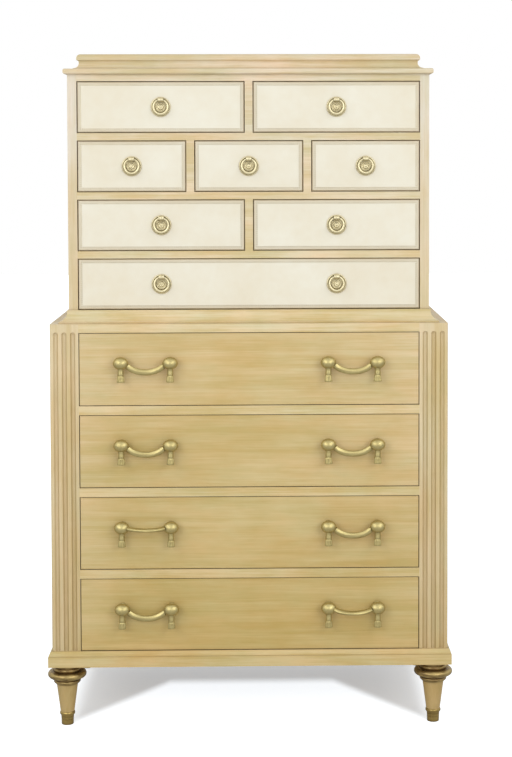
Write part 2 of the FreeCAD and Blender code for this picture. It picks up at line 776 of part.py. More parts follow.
bail_steps = 9
bail_sections = []
for index in range(bail_steps):
    share = f"({2 * index} / {bail_steps - 1} - 1)"
    swing = f"(bail_swing * {share})"
    bulk = f"cos(90 * {share})"
    section = doc.addObject("Part::Ellipse", f"bail_section_{index}")
    bind(
        section,
        MajorRadius=f"bail_end_half_tall + (bail_mid_half_tall - bail_end_half_tall) * {bulk}",
        MinorRadius=f"bail_end_half_thick + (bail_mid_half_thick - bail_end_half_thick) * {bulk}",
    )
    put(section, f"bail_arc * sin{swing}", 0, f"bail_arc - bail_sag - bail_arc * cos{swing}",
        f"90 - {swing}", (0, 1, 0))
    bail_sections.append(section)
bail_bow = doc.addObject("Part::Loft", "bail_bow")
bail_bow.Sections = bail_sections
bail_bow.Solid = True
bail_bow.Ruled = False
bail_ends = []
for side, sign in (("left", -1), ("right", 1)):
    knuckle = doc.addObject("Part::Sphere", f"bail_knuckle_{side}")
    bind(knuckle, Radius="bail_end_half_tall")
    put(knuckle, f"{sign} * bail_half")
    pin = rod(f"bail_pin_{side}", "pin_radius", "bail_shoulder + pin_reach", (sign, 0, 0),
              x=f"{sign} * bail_half")
    bail_ends += [knuckle, pin]
bail_form = fused("bail_form", [bail_bow] + bail_ends)

# Drawer forms stand with their face at y = 0 and the floor of their opening at z = 0.
nodes = {}


def drawer_form(name, mouth, tall, long, pulls, pull_level, leather):
    """A drawer box whose front is bored for the studs of its pulls."""
    half = f"({mouth} / 2 - drawer_gap)"
    face = "leather_thick" if leather else "0"
    front_blank = box(f"{name}_front_blank", (f"-{half}", half), (face, "front_thick"),
                      ("drawer_gap", f"{tall} - drawer_gap"))
    holes = group(f"{name}_stud_holes", [
        rod(f"{name}_stud_hole_{index}", "stud_radius", stud_long, (0, 1, 0), x=x, z=pull_level)
        for index, x in enumerate(pulls)
    ])
    inside = f"({half} - drawer_wall)"
    side_tall = ("drawer_rise", f"{tall} - drawer_drop")
    pieces = [without(f"{name}_front", front_blank, holes)]
    pieces += both_sides(f"{name}_side", inside, half, ("front_thick", long), side_tall)
    pieces.append(box(f"{name}_back", (f"-{inside}", inside), (f"{long} - drawer_wall", long),
                      side_tall))
    pieces.append(box(f"{name}_bottom", (f"-{inside}", inside),
                      ("front_thick", f"{long} - drawer_wall"),
                      ("bottom_lift", "bottom_lift + drawer_bottom")))
    if leather:
        leather_blank = box(f"{name}_leather_blank",
                            (f"-({half} - leather_border)", f"{half} - leather_border"),
                            ("0", "leather_thick"),
                            ("drawer_gap + leather_border", f"{tall} - drawer_gap - leather_border"))
        pieces.append(without(f"{name}_leather", leather_blank, holes))
    return group(name, pieces)


def name_node(name, thing):
    thing.Label = name
    nodes[name] = thing


pull_centres = ("-pull_half_spread", "pull_half_spread")
lower_studs = [f"{centre} + {end} * {balls_x}" for centre in pull_centres for end in (-1, 1)]
lower_form = drawer_form("lower_drawer_form", "(2 * lower_mouth)", "lower_drawer_tall",
                         "lower_drawer_long", lower_studs, "lower_pull_z", False)
upper_forms = {
    "fourth": drawer_form("full_drawer_form", "full_mouth", "upper_drawer_tall",
                          "upper_drawer_long", ["-half_place", "half_place"],
                          "upper_pull_z", True),
    "third": drawer_form("half_drawer_form", "half_mouth", "upper_drawer_tall",
                         "upper_drawer_long", ["0"], "upper_pull_z", True),
    "second": drawer_form("third_drawer_form", "third_mouth", "upper_drawer_tall",
                          "upper_drawer_long", ["0"], "upper_pull_z", True),
}
upper_forms["top"] = upper_forms["third"]

upper_face = "upper_front + front_inset"
for (row, columns), level in zip(row_places, upper_levels):
    for column, place in columns.items():
        drawer = row if row == "fourth" else f"{row}_{column}"
        name_node(f"drawer_{drawer}", group(f"d_{drawer}", [upper_forms[row]], place,
                                            upper_face, level))
        ring_spots = {drawer: place}
        if row == "fourth":
            ring_spots = {"fourth_left": "-half_place", "fourth_right": "half_place"}
        pull_z = f"{level} + upper_pull_z"
        name_node(f"ring_plates_{drawer}", group(f"p_{drawer}", [
            group(f"plate_{spot}", [ring_plate], x, upper_face, pull_z)
            for spot, x in ring_spots.items()
        ]))
        for spot, x in ring_spots.items():
            name_node(f"ring_{spot}", group(f"r_{spot}", [ring_form], x,
                                            f"{upper_face} - lug_out", f"{pull_z} + ring_radius"))

lower_face = "case_front + front_inset"
raised_bails = {"seventh_left": "bail_raised", "eighth_right": "bail_half_raised"}
for drawer, level in zip(("eighth", "seventh", "sixth", "fifth"), lower_levels):
    name_node(f"drawer_{drawer}", group(f"d_{drawer}", [lower_form], "0", lower_face, level))
    pull_z = f"{level} + lower_pull_z"
    name_node(f"pull_posts_{drawer}", group(f"p_{drawer}", [
        group(f"posts_{drawer}_{side}", [pull_posts], x, lower_face, pull_z)
        for side, x in zip(("left", "right"), pull_centres)
    ]))
    for side, x in zip(("left", "right"), pull_centres):
        spot = f"{drawer}_{side}"
        name_node(f"bail_{spot}", group(f"b_{spot}", [bail_form], x, f"{lower_face} - ball_out",
                                        pull_z, f"-({raised_bails.get(spot, '0')})", (1, 0, 0)))

for thing in (
    lower_sides, lower_back, lower_boards, corner_posts, lower_rails, lower_runners,
    lower_dust_panels, base_moulding, feet, ferrules, fixings, waist_moulding, upper_sides,
    upper_back, upper_face_frame, upper_boards, upper_partitions, ledge, cornice_cap,
):
    name_node(thing.Name, thing)

doc.recompute()
for thing in doc.Objects:
    if "Invalid" in thing.State or "Error" in thing.State:
        raise RuntimeError(f"{thing.Name} failed: {thing.State}")
for name, thing in nodes.items():
    shape = thing.Shape
    if shape.isNull() or not shape.isValid() or not shape.Solids:
        raise RuntimeError(f"{name} has no sound shape")

os.makedirs("parts", exist_ok=True)
for name, thing in nodes.items():
    thing.Shape.exportStep(f"parts/{name}.step")
print(f"{len(nodes)} nodes written")
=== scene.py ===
import json
import math
import bmesh
import bpy
from mathutils import Matrix, Vector


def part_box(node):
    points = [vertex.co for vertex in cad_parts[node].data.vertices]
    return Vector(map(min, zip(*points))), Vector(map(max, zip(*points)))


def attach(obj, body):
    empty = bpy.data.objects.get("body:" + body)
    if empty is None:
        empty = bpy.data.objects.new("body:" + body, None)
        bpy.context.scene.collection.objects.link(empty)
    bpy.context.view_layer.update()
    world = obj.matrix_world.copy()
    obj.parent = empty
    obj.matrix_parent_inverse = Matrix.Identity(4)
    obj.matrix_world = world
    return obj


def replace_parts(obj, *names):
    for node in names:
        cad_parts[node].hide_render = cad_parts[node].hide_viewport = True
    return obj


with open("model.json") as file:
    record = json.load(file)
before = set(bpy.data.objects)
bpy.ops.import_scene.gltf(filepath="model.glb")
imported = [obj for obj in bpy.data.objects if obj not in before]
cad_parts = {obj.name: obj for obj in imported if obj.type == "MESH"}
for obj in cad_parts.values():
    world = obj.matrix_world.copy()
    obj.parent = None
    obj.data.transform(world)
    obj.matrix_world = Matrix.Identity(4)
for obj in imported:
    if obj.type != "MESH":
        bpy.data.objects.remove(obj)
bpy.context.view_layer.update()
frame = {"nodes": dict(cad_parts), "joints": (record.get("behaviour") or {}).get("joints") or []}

# A chest on chest in limed wood: leather-faced drawers above, wooden drawers between fluted posts
# below, ring and bail pulls in brass. The scene is in metres, fronts towards -Y, floor at z = 0.
# The panel, pull and ferrule sizes are written in millimetres.

nodes = frame["nodes"]
scene = bpy.context.scene
scene.view_settings.view_transform = "Standard"


def addNode(tree, kind, inputs=None, **settings):
    made = tree.nodes.new("ShaderNode" + kind)
    for key, value in settings.items():
        setattr(made, key, value)
    for key, value in (inputs or {}).items():
        if isinstance(value, bpy.types.NodeSocket):
            tree.links.new(value, made.inputs[key])
        else:
            made.inputs[key].default_value = value
    return made


def maths(tree, operation, first, second=0.0, third=0.0, clamp=False):
    inputs = {0: first, 1: second}
    if operation == "MULTIPLY_ADD":
        inputs[2] = third
    return addNode(tree, "Math", inputs, operation=operation, use_clamp=clamp).outputs[0]


def mapped(tree, value, fromLow, fromHigh, toLow=0.0, toHigh=1.0, smooth=False):
    kind = "SMOOTHSTEP" if smooth else "LINEAR"
    inputs = {"Value": value, "From Min": fromLow, "From Max": fromHigh, "To Min": toLow, "To Max": toHigh}
    return addNode(tree, "MapRange", inputs, interpolation_type=kind).outputs["Result"]


def mixed(tree, factor, first, second, mode="MIX"):
    node = addNode(tree, "Mix", data_type="RGBA", blend_type=mode)
    for index, value in ((0, factor), (6, first), (7, second)):
        if isinstance(value, bpy.types.NodeSocket):
            tree.links.new(value, node.inputs[index])
        elif index:
            node.inputs[index].default_value = (*value, 1.0)
        else:
            node.inputs[index].default_value = value
    return node.outputs[2]


def noise(tree, vector, scale, stretch=(1, 1, 1), detail=2.0, roughness=0.5, distortion=0.0):
    place = addNode(tree, "Mapping", {"Vector": vector, "Scale": stretch}).outputs["Vector"]
    inputs = {"Vector": place, "Scale": scale, "Detail": detail, "Roughness": roughness}
    return addNode(tree, "TexNoise", {**inputs, "Distortion": distortion}).outputs["Fac"]


def newGroup(name, inputs, outputs):
    group = bpy.data.node_groups.new(name, "ShaderNodeTree")
    for label, kind, value in inputs:
        socket = group.interface.new_socket(name=label, in_out="INPUT", socket_type="NodeSocket" + kind)
        if value is not None:
            socket.default_value = value
    for label, kind in outputs:
        group.interface.new_socket(name=label, in_out="OUTPUT", socket_type="NodeSocket" + kind)
    return group, group.nodes.new("NodeGroupInput"), group.nodes.new("NodeGroupOutput")


def placeGroup(tree, group, inputs):
    node = tree.nodes.new("ShaderNodeGroup")
    node.node_tree = group
    for key, value in inputs.items():
        if isinstance(value, bpy.types.NodeSocket):
            tree.links.new(value, node.inputs[key])
        else:
            node.inputs[key].default_value = value
    return node.outputs


def newMaterial(name, **fixed):
    material = bpy.data.materials.new(name)
    material.use_nodes = True
    tree = material.node_tree
    shader = tree.nodes["Principled BSDF"]
    for key, value in fixed.items():
        shader.inputs[key].default_value = value
    return material, tree, shader


def feed(tree, shader, **links):
    for key, value in links.items():
        tree.links.new(value, shader.inputs[key.replace("_", " ")])


def bumped(tree, height, distance):
    return addNode(tree, "Bump", {"Height": height, "Distance": distance, "Strength": 1.0}).outputs["Normal"]


woodLook = {
    "paleTint": (1.07, 1.09, 1.20), "deepTint": (0.89, 0.85, 0.70),
    # glaze and painted shade that darken the wood in its corners and recesses
    "glaze": (0.22, 0.13, 0.055), "glazeReach": 0.007, "glazeAmount": 0.8,
    "rough": 0.42, "bump": 0.00012, "specular": 0.3,
    # heights where the three tones are met, from the base to the cornice; darker towards the base, partly the
    # wood's own tone and partly painted shade for light that falls off downwards
    "low": 0.2, "middle": 0.85, "high": 1.42,
    "uprightTones": ((0.615, 0.490, 0.270), (0.705, 0.580, 0.345), (0.755, 0.685, 0.555)),
    "levelTones": ((0.635, 0.497, 0.236), (0.715, 0.595, 0.340), (0.745, 0.640, 0.455)),
    "frontTones": ((0.575, 0.437, 0.174), (0.655, 0.520, 0.262), (0.720, 0.600, 0.400)),
    # paler towards the ends of a front
    "wornTint": (1.06, 1.08, 1.22), "wornFrom": 0.27, "wornTo": 0.40,
    "inside": (0.47, 0.34, 0.19), "insideFigure": 1.4, "insideRough": 0.62, "insideBump": 0.0002,
    # how far each part of the figure is drawn out, along the grain and across it
    "cloudScale": 4.2, "cloudReach": (1, 2.3, 2.3), "streakReach": (1.8, 52, 52),
    "lineReach": (9, 430, 430), "poreReach": (36, 1500, 1500), "poreDark": 0.2,
    # a slight change of hue from place to place
    "blush": (1.05, 0.965, 0.90), "cool": (0.965, 1.005, 0.99),
    "blushScale": 6.5, "blushReach": (1, 3, 3), "blushAmount": 0.42,
    "patchScale": 38,
    # darker on the steep sides of the flutes, where they face sideways
    "arris": (0.74, 0.69, 0.60), "arrisFrom": 0.3, "arrisTo": 0.75, "flutesEnd": 0.438,
}


def buildGroups():
    groups = {}
    # the grain runs along X of the vector that comes in
    group, entry, leave = newGroup("woodGrain", [
        ("Vector", "Vector", None), ("Colour", "Color", (0.65, 0.5, 0.3, 1)), ("Figure", "Float", 1.0),
        ("Rough", "Float", 0.45)],
        [("Colour", "Color"), ("Roughness", "Float"), ("Height", "Float")])
    vector = entry.outputs["Vector"]
    clouds = noise(group, vector, woodLook["cloudScale"], woodLook["cloudReach"], detail=4.0, roughness=0.62)
    streaks = noise(group, vector, 1.0, woodLook["streakReach"], detail=4.0, roughness=0.62, distortion=0.4)
    lines = noise(group, vector, 1.0, woodLook["lineReach"], detail=3.0, roughness=0.6)
    pores = mapped(group, noise(group, vector, 1.0, woodLook["poreReach"], detail=1.0), 0.62, 0.72)
    cloudy = mapped(group, clouds, 0.32, 0.68)
    streaky = mapped(group, streaks, 0.32, 0.68, 0, 0.4)
    figure = maths(group, "MULTIPLY_ADD", cloudy, 0.45, streaky)
    figure = maths(group, "ADD", figure, mapped(group, lines, 0.3, 0.7, -0.07, 0.22))
    centred = maths(group, "SUBTRACT", figure, 0.5)
    figure = maths(group, "MULTIPLY_ADD", centred, entry.outputs["Figure"], 0.5, clamp=True)
    tint = mixed(group, figure, woodLook["deepTint"], woodLook["paleTint"])
    colour = mixed(group, 1.0, entry.outputs["Colour"], tint, "MULTIPLY")
    blush = noise(group, vector, woodLook["blushScale"], woodLook["blushReach"], detail=3.0, roughness=0.6)
    hue = mixed(group, mapped(group, blush, 0.34, 0.66), woodLook["cool"], woodLook["blush"])
    amount = maths(group, "MULTIPLY", entry.outputs["Figure"], woodLook["blushAmount"], clamp=True)
    colour = mixed(group, amount, colour, mixed(group, 1.0, colour, hue, "MULTIPLY"))
    dark = maths(group, "MULTIPLY", pores, woodLook["poreDark"])
    colour = mixed(group, dark, colour, woodLook["deepTint"], "MULTIPLY")
    group.links.new(colour, leave.inputs["Colour"])
    rough = maths(group, "ADD", entry.outputs["Rough"], mapped(group, streaks, 0.2, 0.8, -0.06, 0.08))
    group.links.new(rough, leave.inputs["Roughness"])
    height = maths(group, "MULTIPLY_ADD", pores, -0.5, mapped(group, lines, 0.2, 0.8, 0, 0.5))
    group.links.new(height, leave.inputs["Height"])
    groups["grain"] = group

    # dark glaze that stays in the corners and recesses, with painted shade: darker wherever the AO node finds
    # a surface close by
    group, entry, leave = newGroup("glazeInCorners", [
        ("Colour", "Color", (0.6, 0.5, 0.3, 1)), ("Glaze", "Color", (0.35, 0.22, 0.1, 1)),
        ("Reach", "Float", 0.006), ("Amount", "Float", 0.6)],
        [("Colour", "Color"), ("Mask", "Float")])
    near = addNode(group, "AmbientOcclusion", {"Distance": entry.outputs["Reach"]}, samples=8).outputs["AO"]
    patchy = noise(group, addNode(group, "TexCoord").outputs["Object"], woodLook["patchScale"], detail=2.0)
    mask = maths(group, "SUBTRACT", 1.0, mapped(group, near, 0.15, 0.95), clamp=True)
    mask = maths(group, "MULTIPLY", mask, mapped(group, patchy, 0.25, 0.7, 0.65, 1.1))
    mask = maths(group, "MULTIPLY", mask, entry.outputs["Amount"], clamp=True)
    colour = mixed(group, mask, entry.outputs["Colour"], entry.outputs["Glaze"])
    group.links.new(colour, leave.inputs["Colour"])
    group.links.new(mask, leave.inputs["Mask"])
    groups["glaze"] = group
    return groups


print("shared effects")
groups = buildGroups()


def alongGrain(tree, place, along, shift=(0, 0, 0)):
    turn = {"X": (0, 0, 0), "Y": (0, 0, math.radians(90)), "Z": (0, math.radians(90), 0)}[along]
    return addNode(tree, "Mapping", {"Vector": place, "Rotation": turn, "Location": shift}).outputs["Vector"]


# the tones darken towards the base: partly the wood's own tone, partly painted shade for the light falling
# off downwards
def toneAndShadeByHeight(tree, height, tones):
    low, middle, high = (woodLook[key] for key in ("low", "middle", "high"))
    lower = mixed(tree, mapped(tree, height, low, middle), tones[0], tones[1])
    return mixed(tree, mapped(tree, height, middle, high), lower, tones[2])


def limedWood(name, along, tones, figure=1.0, shift=(0, 0, 0), worn=False, flutes=False):
    material, tree, shader = newMaterial(name, **{"Specular IOR Level": woodLook["specular"]})
    place = addNode(tree, "TexCoord").outputs["Object"]
    axes = addNode(tree, "SeparateXYZ", {0: place}).outputs
    colour = toneAndShadeByHeight(tree, axes["Z"], woodLook[tones])
    if worn:
        aside = maths(tree, "ABSOLUTE", axes["X"])
        ends = mapped(tree, aside, woodLook["wornFrom"], woodLook["wornTo"], smooth=True)
        colour = mixed(tree, ends, colour, mixed(tree, 1.0, colour, woodLook["wornTint"], "MULTIPLY"))
    if flutes:
        facing = addNode(tree, "SeparateXYZ", {0: addNode(tree, "TexCoord").outputs["Normal"]}).outputs["X"]
        steep = mapped(tree, maths(tree, "ABSOLUTE", facing), woodLook["arrisFrom"], woodLook["arrisTo"])
        within = maths(tree, "LESS_THAN", maths(tree, "ABSOLUTE", axes["X"]), woodLook["flutesEnd"])
        steepDarker = mixed(tree, 1.0, colour, woodLook["arris"], "MULTIPLY")
        colour = mixed(tree, maths(tree, "MULTIPLY", steep, within), colour, steepDarker)
    grain = placeGroup(tree, groups["grain"], {
        "Vector": alongGrain(tree, place, along, shift), "Colour": colour, "Figure": figure,
        "Rough": woodLook["rough"]})
    dark = placeGroup(tree, groups["glaze"], {
        "Colour": grain["Colour"], "Glaze": (*woodLook["glaze"], 1), "Reach": woodLook["glazeReach"],
        "Amount": woodLook["glazeAmount"]})
    feed(tree, shader, Base_Color=dark["Colour"], Roughness=grain["Roughness"],
         Normal=bumped(tree, grain["Height"], woodLook["bump"]))
    return material


def innerWood(name, along):
    material, tree, shader = newMaterial(name, **{"Specular IOR Level": woodLook["specular"]})
    place = addNode(tree, "TexCoord").outputs["Object"]
    grain = placeGroup(tree, groups["grain"], {
        "Vector": alongGrain(tree, place, along), "Colour": (*woodLook["inside"], 1),
        "Figure": woodLook["insideFigure"], "Rough": woodLook["insideRough"]})
    feed(tree, shader, Base_Color=grain["Colour"], Roughness=grain["Roughness"],
         Normal=bumped(tree, grain["Height"], woodLook["insideBump"]))
    return material


footLook = {
    "taper": (0.520, 0.382, 0.158), "giltPale": (0.46, 0.35, 0.14), "giltDark": (0.16, 0.10, 0.04),
    "split": 0.0935, "soft": 0.0006,    # height where the gilt begins, and half its edge
    "figure": 1.5, "streaks": 34, "rough": 0.34, "giltMetal": 0.85, "specular": 0.4,
    # glaze and painted shade in the hollows of the turning
    "glazeReach": 0.012, "glazeAmount": 0.95,
}


def giltFoot(name):
    material, tree, shader = newMaterial(name, **{"Specular IOR Level": footLook["specular"]})
    place = addNode(tree, "TexCoord").outputs["Object"]
    height = addNode(tree, "SeparateXYZ", {0: place}).outputs["Z"]
    gilt = mapped(tree, height, footLook["split"] - footLook["soft"], footLook["split"] + footLook["soft"])
    grain = placeGroup(tree, groups["grain"], {
        "Vector": alongGrain(tree, place, "Z"), "Colour": (*footLook["taper"], 1),
        "Figure": footLook["figure"], "Rough": footLook["rough"]})
    rubbed = noise(tree, place, footLook["streaks"], (1, 1, 4), detail=4.0, roughness=0.65)
    metal = mixed(tree, mapped(tree, rubbed, 0.35, 0.65), footLook["giltDark"], footLook["giltPale"])
    colour = mixed(tree, gilt, grain["Colour"], metal)
    dark = placeGroup(tree, groups["glaze"], {
        "Colour": colour, "Glaze": (*woodLook["glaze"], 1), "Reach": footLook["glazeReach"],
        "Amount": footLook["glazeAmount"]})
    metallic = maths(tree, "MULTIPLY", gilt, footLook["giltMetal"])
    feed(tree, shader, Base_Color=dark["Colour"], Metallic=metallic, Roughness=grain["Roughness"],
         Normal=bumped(tree, grain["Height"], woodLook["bump"]))
    return material


brassLook = {
    # bright and aged colour of each fitting
    "pull": ((0.50, 0.425, 0.195), (0.39, 0.32, 0.135)),
    "ring": ((0.70, 0.63, 0.41), (0.57, 0.50, 0.31)),
    "toe": ((0.42, 0.31, 0.11), (0.22, 0.15, 0.05)),
    "nail": ((0.56, 0.49, 0.34), (0.42, 0.35, 0.22)),
    # painted shade: this colour darkens the brass in its hollows and under the balls and bows, where shade
    # falls
    "recess": (0.07, 0.04, 0.012), "reach": 0.0075,
    "cloudScale": 55, "speckScale": 420, "bump": 0.00005,
    "roughSpread": 0.14, "recessRough": 0.3,    # how much duller in clouds, and in the recesses
}


def agedBrass(name, tones, rough, recess=0.9):
    material, tree, shader = newMaterial(name, Metallic=1.0)
    place = addNode(tree, "TexCoord").outputs["Object"]
    cloud = noise(tree, place, brassLook["cloudScale"], detail=3.0, roughness=0.6)
    speck = noise(tree, place, brassLook["speckScale"], detail=2.0)
    cloudy = mapped(tree, cloud, 0.35, 0.7)
    specked = mapped(tree, speck, 0.5, 0.75, 0, 0.15)
    wear = maths(tree, "MULTIPLY_ADD", cloudy, 0.6, specked, clamp=True)
    bright, aged = brassLook[tones]
    colour = mixed(tree, wear, bright, aged)
    # painted shade in the recesses of the brass
    dark = placeGroup(tree, groups["glaze"], {
        "Colour": colour, "Glaze": (*brassLook["recess"], 1), "Reach": brassLook["reach"],
        "Amount": recess})
    dull = mapped(tree, cloud, 0.2, 0.8, rough, rough + brassLook["roughSpread"])
    roughness = maths(tree, "MULTIPLY_ADD", dark["Mask"], brassLook["recessRough"], dull)
    feed(tree, shader, Base_Color=dark["Colour"], Roughness=roughness,
         Normal=bumped(tree, speck, brassLook["bump"]))
    return material


leatherLook = {
    "deep": (0.80, 0.735, 0.575), "pale": (0.855, 0.825, 0.70), "specular": 0.35,
    "border": (0.84, 0.80, 0.735),    # what tones the strip outside the nails
    # painted shade: the edge colour darkens the leather where it meets the drawer's frame
    "edge": (0.45, 0.33, 0.18), "edgeReach": 0.004, "edgeAmount": 0.55,
    "blotchScale": 7.0, "fineScale": 60, "pebbleScale": 620.0, "creaseScale": 150,
    "roughLow": 0.42, "roughHigh": 0.56, "bump": 0.00012,
}


def creamLeather(name):
    material, tree, shader = newMaterial(name, **{"Specular IOR Level": leatherLook["specular"]})
    place = addNode(tree, "TexCoord").outputs["Object"]
    blotch = noise(tree, place, leatherLook["blotchScale"], detail=3.0, roughness=0.55)
    fine = noise(tree, place, leatherLook["fineScale"], detail=3.0)
    cells = {"Vector": place, "Scale": leatherLook["pebbleScale"]}
    pebble = addNode(tree, "TexVoronoi", cells, feature="SMOOTH_F1").outputs["Distance"]
    crease = noise(tree, place, leatherLook["creaseScale"], detail=4.0, roughness=0.65, distortion=0.8)
    blotchy = mapped(tree, blotch, 0.3, 0.7)
    blend = maths(tree, "MULTIPLY_ADD", blotchy, 0.75, mapped(tree, fine, 0.3, 0.7, 0, 0.25))
    colour = mixed(tree, blend, leatherLook["deep"], leatherLook["pale"])
    border = addNode(tree, "Attribute", attribute_name="border").outputs["Fac"]
    colour = mixed(tree, border, colour, mixed(tree, 1.0, colour, leatherLook["border"], "MULTIPLY"))
    edge = placeGroup(tree, groups["glaze"], {
        "Colour": colour, "Glaze": (*leatherLook["edge"], 1), "Reach": leatherLook["edgeReach"],
        "Amount": leatherLook["edgeAmount"]})
    height = maths(tree, "MULTIPLY_ADD", pebble, 0.6, maths(tree, "MULTIPLY", crease, 0.5))
    roughness = mapped(tree, fine, 0.2, 0.8, leatherLook["roughLow"], leatherLook["roughHigh"])
    feed(tree, shader, Base_Color=edge["Colour"], Roughness=roughness,
         Normal=bumped(tree, height, leatherLook["bump"]))
    return material


steelLook = {
    "deep": (0.42, 0.41, 0.39), "pale": (0.58, 0.57, 0.55), "turnedReach": (300, 300, 900),
    "roughLow": 0.28, "roughHigh": 0.42, "bump": 0.00005,
}


def plainSteel(name):
    material, tree, shader = newMaterial(name, Metallic=1.0)
    place = addNode(tree, "TexCoord").outputs["Object"]
    turned = noise(tree, place, 1.0, steelLook["turnedReach"], detail=2.0)
    colour = mixed(tree, turned, steelLook["deep"], steelLook["pale"])
    roughness = mapped(tree, turned, 0.2, 0.8, steelLook["roughLow"], steelLook["roughHigh"])
    feed(tree, shader, Base_Color=colour, Roughness=roughness,
         Normal=bumped(tree, turned, steelLook["bump"]))
    return material


print("materials")
finishes = {
    "upright": limedWood("limedWoodUpright", "Z", "uprightTones", figure=1.6),
    "level": limedWood("limedWoodLevel", "X", "levelTones", figure=2.5),
    "post": limedWood("limedWoodPost", "Z", "uprightTones", figure=1.6, flutes=True),
    "fronts": limedWood("limedWoodFronts", "X", "frontTones", figure=1.8, shift=(0.37, 0.2, 0.11),
                        worn=True),
    "feet": giltFoot("giltFoot"),
    "insideUpright": innerWood("insideWoodUpright", "Z"),
    "insideLevel": innerWood("insideWoodLevel", "X"),
    "pull": agedBrass("pullBrass", "pull", rough=0.36),
    "ring": agedBrass("ringBrass", "ring", rough=0.36, recess=0.55),
    "toe": agedBrass("ferruleBrass", "toe", rough=0.26),
    "nail": agedBrass("nailBrass", "nail", rough=0.3, recess=0.5),
    "leather": creamLeather("creamLeather"),
    "steel": plainSteel("fixingSteel"),
}

dressed = {
    "upright": ["lower_sides", "upper_sides"],
    "post": ["corner_posts"],
    "level": ["lower_rails", "base_moulding", "waist_moulding", "upper_face_frame", "cornice_ledge",
              "cornice_cap"],
    "insideUpright": ["lower_back", "upper_back", "upper_partitions"],
    "insideLevel": ["lower_boards", "lower_runners", "lower_dust_panels", "upper_boards"],
    "feet": ["feet"],
    "steel": ["fixings"],
    "toe": ["ferrules"],
}


def dress(node, material):
    for slot in nodes[node].material_slots:
        slot.material = material


for finish, names in dressed.items():
    for name in names:
        dress(name, finishes[finish])
for name in nodes:
    if name.startswith("drawer_"):
        dress(name, finishes["fronts"])
    elif name.startswith("ring"):
        dress(name, finishes["ring"])
    elif name.startswith(("pull", "bail")):
        dress(name, finishes["pull"])


mm = 0.001
outwards = Matrix.Rotation(math.radians(90), 4, "X")     # local Z turns to -Y, out of a drawer's face
sideways = Matrix.Rotation(math.radians(90), 4, "Y")     # local Z turns to +X


def finishPiece(name, shape, body, finish, sharp=35, smoothing=0):
    mesh = bpy.data.meshes.new(name)
    shape.to_mesh(mesh)
    shape.free()
    mesh.shade_smooth()
    mesh.set_sharp_from_angle(angle=math.radians(sharp))
    mesh.materials.append(finishes[finish])
    piece = bpy.data.objects.new(name, mesh)
    scene.collection.objects.link(piece)
    if smoothing:
        rounding = piece.modifiers.new("rounding", "SUBSURF")
        rounding.levels = rounding.render_levels = smoothing
    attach(piece, body)
    return piece


def keepMesh(name, shape):
    mesh = bpy.data.meshes.new(name)
    shape.to_mesh(mesh)
    shape.free()
    return mesh


def addCopies(shape, mesh, places):
    for place in places:
        start = len(shape.verts)
        shape.from_mesh(mesh)
        shape.verts.ensure_lookup_table()
        bmesh.ops.transform(shape, matrix=place, verts=shape.verts[start:])


def turnedForm(profile, steps, ring=False):
    shape = bmesh.new()
    points = [shape.verts.new((radius * mm, 0, height * mm)) for radius, height in profile]
    pairs = list(zip(points, points[1:])) + ([(points[-1], points[0])] if ring else [])
    edges = [shape.edges.new(pair) for pair in pairs]
    bmesh.ops.spin(shape, geom=points + edges, cent=(0, 0, 0), axis=(0, 0, 1), angle=math.tau,
                   steps=steps, use_merge=True)
    bmesh.ops.remove_doubles(shape, verts=shape.verts, dist=1e-6)
    bmesh.ops.recalc_face_normals(shape, faces=shape.faces)
    return shape


# where a joint turns, and its limits in degrees
def pivotOf(joint):
    entry = next(entry for entry in frame["joints"] if entry["name"] == joint)
    return Vector(entry["pos_m"]), entry["range_deg"]


panel = {
    "edge": 1.2, "gap": 1.6, "rise": 0.3, "proud": 0.5, "deep": 1.1, "round": 0.7,
    "roundSteps": 3, "borderSoft": 0.5,
    "nailInset": 6.3, "nailPitch": 4.2, "nailRadius": 1.25, "nailTall": 0.8, "nailSides": 8, "nailCrown": 0.5,
}


def nailMesh():
    shape = bmesh.new()
    radius = panel["nailRadius"] * mm
    bmesh.ops.create_circle(shape, cap_ends=True, segments=panel["nailSides"], radius=radius)
    crownInset = radius * panel["nailCrown"]
    rim = bmesh.ops.inset_region(shape, faces=shape.faces[:], thickness=crownInset)["faces"]
    crown = {corner for face in shape.faces if face not in rim for corner in face.verts}
    bmesh.ops.translate(shape, vec=(0, 0, panel["nailTall"] * mm), verts=list(crown))
    return keepMesh("nailHead", shape)


